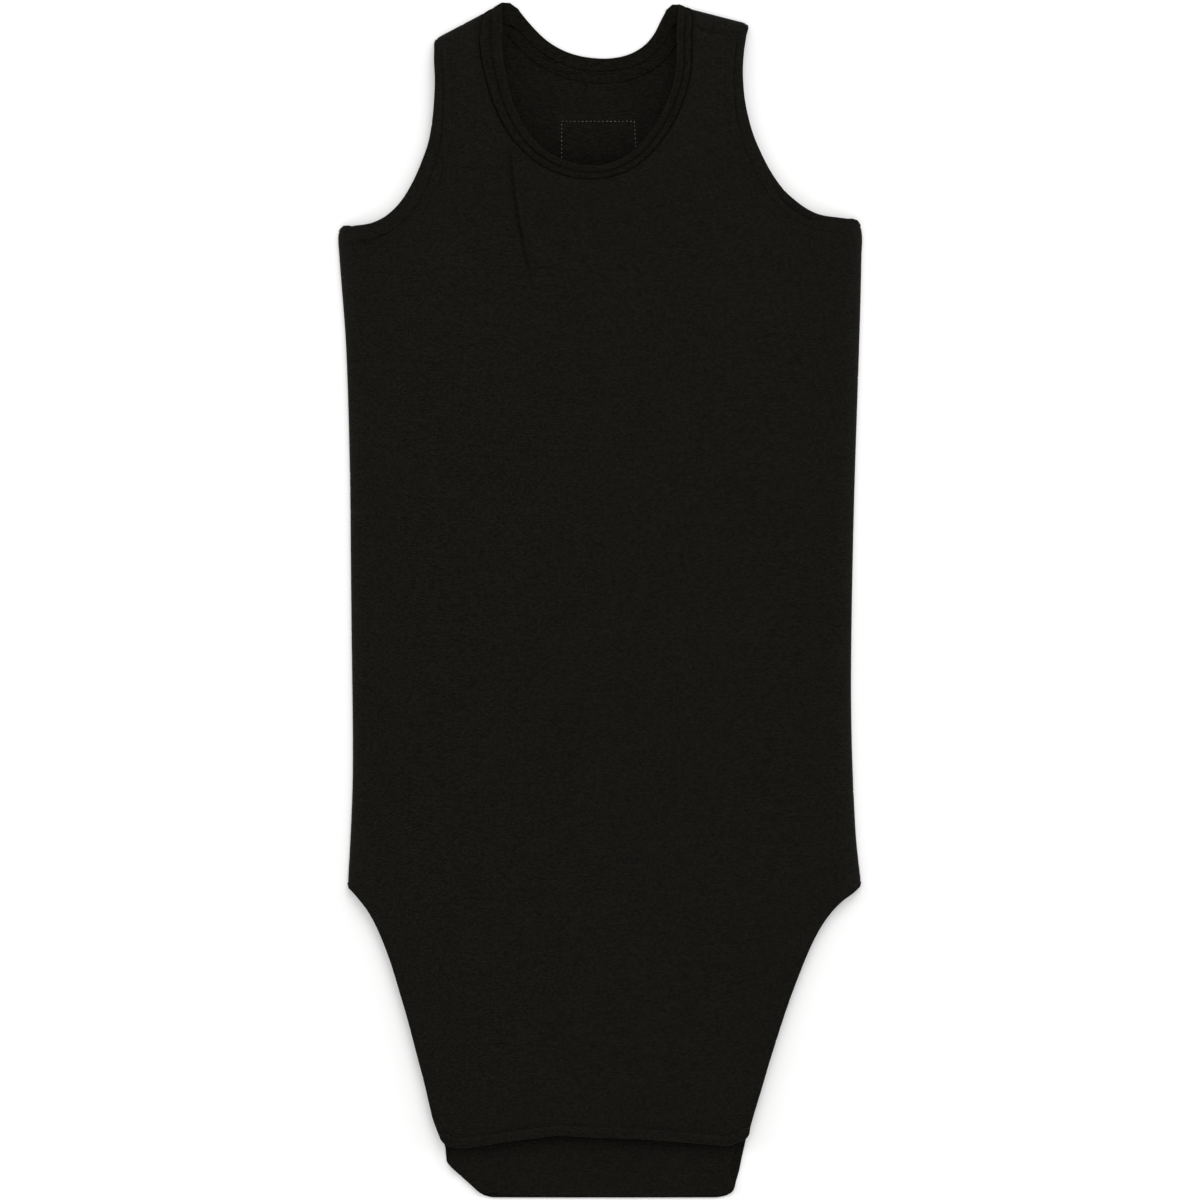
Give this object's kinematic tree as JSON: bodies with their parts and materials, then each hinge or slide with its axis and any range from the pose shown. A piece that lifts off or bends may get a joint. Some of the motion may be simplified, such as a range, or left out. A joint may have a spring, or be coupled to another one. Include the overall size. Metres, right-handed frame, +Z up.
{
  "type": "gymnastics leotard",
  "caption": "Sleeveless jersey leotard laid flat, with a bound scoop neck, faced armholes, high-cut legs and a lapped crotch flap closed by press studs.",
  "frame": {"origin": "centre of the garment's outline, on the surface that it lies on", "axes": "+Y from the crotch towards the neck, +X towards the wearer's left, +Z up out of the front"},
  "size_m": [0.341, 0.779, 0.0081],
  "materials": {
    "jersey": "matte black cotton and elastane jersey",
    "rib": "matte black self binding, folded double",
    "tape": "woven black cotton tape",
    "patch": "blank woven patch",
    "thread": "grey polyester sewing thread",
    "snap": "black moulded press stud"
  },
  "bodies": {
    "torso": {"front_panel": "jersey", "back_panel": "jersey", "label_patch": "patch", "label_stitching": "thread", "neck_band": "rib", "back_neck_tape": "rib", "left_armhole_facing": "jersey", "right_armhole_facing": "jersey", "left_leg_facing": "jersey", "right_leg_facing": "jersey", "left_shoulder_seam": "jersey", "right_shoulder_seam": "jersey", "left_side_seam": "jersey", "right_side_seam": "jersey"},
    "front_tail": {"front_tail_panel": "jersey", "left_tail_facing": "jersey", "right_tail_facing": "jersey", "front_snap_tape": "tape", "snap_cap_1": "snap", "snap_cap_2": "snap", "snap_cap_3": "snap", "snap_socket_1": "snap", "snap_socket_2": "snap", "snap_socket_3": "snap"},
    "crotch_flap": {"crotch_flap_panel": "jersey", "flap_snap_tape": "tape", "snap_stud_1": "snap", "snap_stud_2": "snap", "snap_stud_3": "snap", "snap_post_1": "snap", "snap_post_2": "snap", "snap_post_3": "snap"}
  },
  "joints": [
    {"name": "front_tail_lift", "type": "hinge", "parent": "torso", "child": "front_tail", "pos_m": [0, -0.285, 0.0076], "axis": [-1, 0, 0], "range_deg": [0, 160]},
    {"name": "crotch_flap_open", "type": "hinge", "parent": "torso", "child": "crotch_flap", "pos_m": [0, -0.3892, 0.001], "axis": [1, 0, 0], "range_deg": [0, 140]}
  ],
  "couplings": [
    {"joint": "crotch_flap_open", "follows": "front_tail_lift", "ratio": 0.85}
  ]
}
